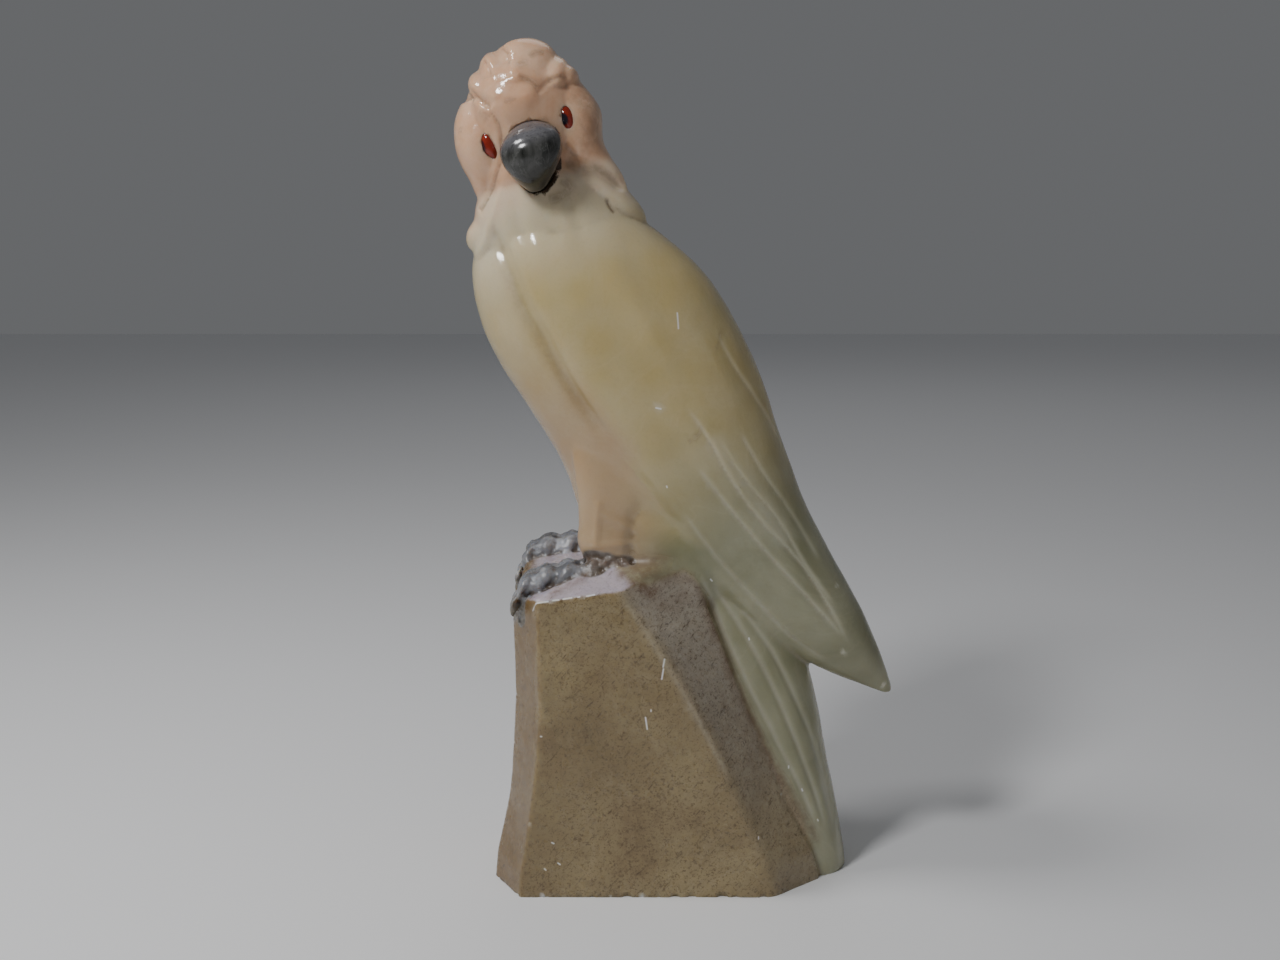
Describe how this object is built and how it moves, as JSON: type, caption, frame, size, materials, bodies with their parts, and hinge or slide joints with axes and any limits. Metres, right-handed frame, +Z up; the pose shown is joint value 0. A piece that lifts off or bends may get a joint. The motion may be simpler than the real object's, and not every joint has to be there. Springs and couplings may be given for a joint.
{
  "type": "carved onyx parrot",
  "caption": "Polished onyx carving of a crested parrot perched on a rough-cut block, with an inset stone beak and red eyes.",
  "frame": {"origin": "on the table under the carving, at the middle of the block's nominal footprint", "axes": "+Z up; the bird's body is seen from its side from -Y, leaning back towards +X, and its turned head looks towards -Y"},
  "size_m": [0.1315, 0.0637, 0.2494],
  "materials": {
    "onyx": "polished, translucent",
    "grey_marble": "polished",
    "red_glass": "glossy"
  },
  "bodies": {
    "root": {"parrot_on_plinth": "onyx", "beak": "grey_marble", "eye_left": "red_glass", "eye_right": "red_glass"}
  },
  "joints": []
}
